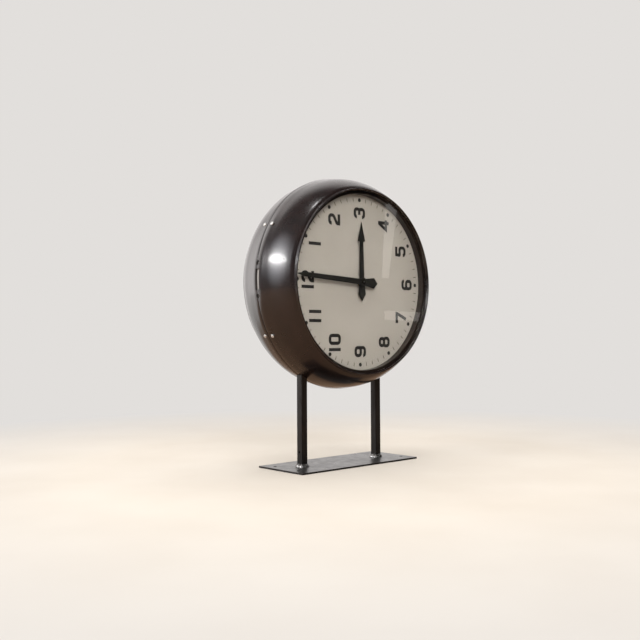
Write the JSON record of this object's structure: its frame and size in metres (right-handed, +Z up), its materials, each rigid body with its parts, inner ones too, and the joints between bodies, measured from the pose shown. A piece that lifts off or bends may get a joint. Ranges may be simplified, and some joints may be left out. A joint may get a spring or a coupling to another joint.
{
  "type": "double sided clock",
  "caption": "Double sided slave clock: a round moulded case with a dial and a glass on each side, carried by square tube legs on a flat base plate.",
  "frame": {"origin": "middle of the base plate's underside", "axes": "+X along the plate's long side, +Y along the clock's own axis from the front dial to the rear dial, +Z up; 12 on the dials is at -X"},
  "size_m": [0.3724, 0.1412, 0.5045],
  "materials": {
    "case": "polished moulded phenolic",
    "dark_steel": "dark mill scale steel",
    "weld": "bare weld metal",
    "bright_steel": "plain steel",
    "reveal": "brown, satin",
    "dial": "matt off-white enamel",
    "hand": "black",
    "glass": "clear",
    "brass": "plain",
    "winding": "varnished copper wire",
    "terminal": "moulded block"
  },
  "bodies": {
    "clock": {"base_plate": "dark_steel", "leg_left": "dark_steel", "leg_right": "dark_steel", "weld_left": "weld", "weld_right": "weld", "joining_band": "bright_steel", "seam_screws": "bright_steel", "terminal_block": "terminal", "front_case": "case", "front_glass": "glass", "front_reveal_ring": "reveal", "front_dial": "dial", "front_dial_brackets": "bright_steel", "front_dial_posts": "brass", "front_pillars": "brass", "front_outer_plate": "brass", "front_inner_plate": "brass", "front_pivot_studs": "bright_steel", "front_magnet_yoke": "bright_steel", "front_coil_bobbins": "terminal", "front_coil_windings": "winding", "rear_case": "case", "rear_glass": "glass", "rear_reveal_ring": "reveal", "rear_dial": "dial", "rear_dial_brackets": "bright_steel", "rear_dial_posts": "brass", "rear_pillars": "brass", "rear_outer_plate": "brass", "rear_inner_plate": "brass", "rear_pivot_studs": "bright_steel", "rear_magnet_yoke": "bright_steel", "rear_coil_bobbins": "terminal", "rear_coil_windings": "winding"},
    "front_minute": {"front_minute_arbor": "bright_steel", "front_ratchet_wheel": "brass", "front_cannon_pinion": "bright_steel", "front_minute_hand": "hand", "front_hand_nut": "brass"},
    "front_motion": {"front_motion_wheel": "brass"},
    "front_hour": {"front_hour_wheel": "brass", "front_hour_hand": "hand"},
    "front_armature": {"front_armature_lever": "bright_steel"},
    "front_pawl": {"front_drive_pawl": "bright_steel"},
    "front_click": {"front_backstop_click": "bright_steel"},
    "rear_minute": {"rear_minute_arbor": "bright_steel", "rear_ratchet_wheel": "brass", "rear_cannon_pinion": "bright_steel", "rear_minute_hand": "hand", "rear_hand_nut": "brass"},
    "rear_motion": {"rear_motion_wheel": "brass"},
    "rear_hour": {"rear_hour_wheel": "brass", "rear_hour_hand": "hand"},
    "rear_armature": {"rear_armature_lever": "bright_steel"},
    "rear_pawl": {"rear_drive_pawl": "bright_steel"},
    "rear_click": {"rear_backstop_click": "bright_steel"}
  },
  "joints": [
    {"name": "front_minute_spin", "type": "hinge", "parent": "clock", "child": "front_minute", "pos_m": [0, 0, 0.318], "axis": [0, 1, 0], "continuous": true},
    {"name": "front_motion_spin", "type": "hinge", "parent": "clock", "child": "front_motion", "pos_m": [-0.024, 0, 0.318], "axis": [0, 1, 0], "continuous": true},
    {"name": "front_hour_spin", "type": "hinge", "parent": "clock", "child": "front_hour", "pos_m": [0, 0, 0.318], "axis": [0, 1, 0], "continuous": true},
    {"name": "front_armature_pull", "type": "hinge", "parent": "clock", "child": "front_armature", "pos_m": [0.043, 0, 0.278], "axis": [0, 1, 0], "range_deg": [0, 2], "stiffness_Nm_per_rad": 0.1, "springref_deg": -5.73},
    {"name": "front_pawl_lift", "type": "hinge", "parent": "front_armature", "child": "front_pawl", "pos_m": [0.008, 0, 0.358], "axis": [0, 1, 0], "range_deg": [0, 8], "stiffness_Nm_per_rad": 0.003, "springref_deg": -8.59},
    {"name": "front_click_lift", "type": "hinge", "parent": "clock", "child": "front_click", "pos_m": [-0.008, 0, 0.276], "axis": [0, -1, 0], "range_deg": [0, 8], "stiffness_Nm_per_rad": 0.003, "springref_deg": -8.59},
    {"name": "rear_minute_spin", "type": "hinge", "parent": "clock", "child": "rear_minute", "pos_m": [0, 0, 0.318], "axis": [0, -1, 0], "continuous": true},
    {"name": "rear_motion_spin", "type": "hinge", "parent": "clock", "child": "rear_motion", "pos_m": [-0.024, 0, 0.318], "axis": [0, -1, 0], "continuous": true},
    {"name": "rear_hour_spin", "type": "hinge", "parent": "clock", "child": "rear_hour", "pos_m": [0, 0, 0.318], "axis": [0, -1, 0], "continuous": true},
    {"name": "rear_armature_pull", "type": "hinge", "parent": "clock", "child": "rear_armature", "pos_m": [0.043, 0, 0.358], "axis": [0, -1, 0], "range_deg": [0, 2], "stiffness_Nm_per_rad": 0.1, "springref_deg": -5.73},
    {"name": "rear_pawl_lift", "type": "hinge", "parent": "rear_armature", "child": "rear_pawl", "pos_m": [0.008, 0, 0.278], "axis": [0, -1, 0], "range_deg": [0, 8], "stiffness_Nm_per_rad": 0.003, "springref_deg": -8.59},
    {"name": "rear_click_lift", "type": "hinge", "parent": "clock", "child": "rear_click", "pos_m": [-0.008, 0, 0.36], "axis": [0, 1, 0], "range_deg": [0, 8], "stiffness_Nm_per_rad": 0.003, "springref_deg": -8.59}
  ],
  "couplings": [
    {"joint": "front_motion_spin", "follows": "front_minute_spin", "ratio": -0.33333},
    {"joint": "front_hour_spin", "follows": "front_minute_spin", "ratio": 0.083333},
    {"joint": "rear_motion_spin", "follows": "rear_minute_spin", "ratio": -0.33333},
    {"joint": "rear_hour_spin", "follows": "rear_minute_spin", "ratio": 0.083333}
  ]
}
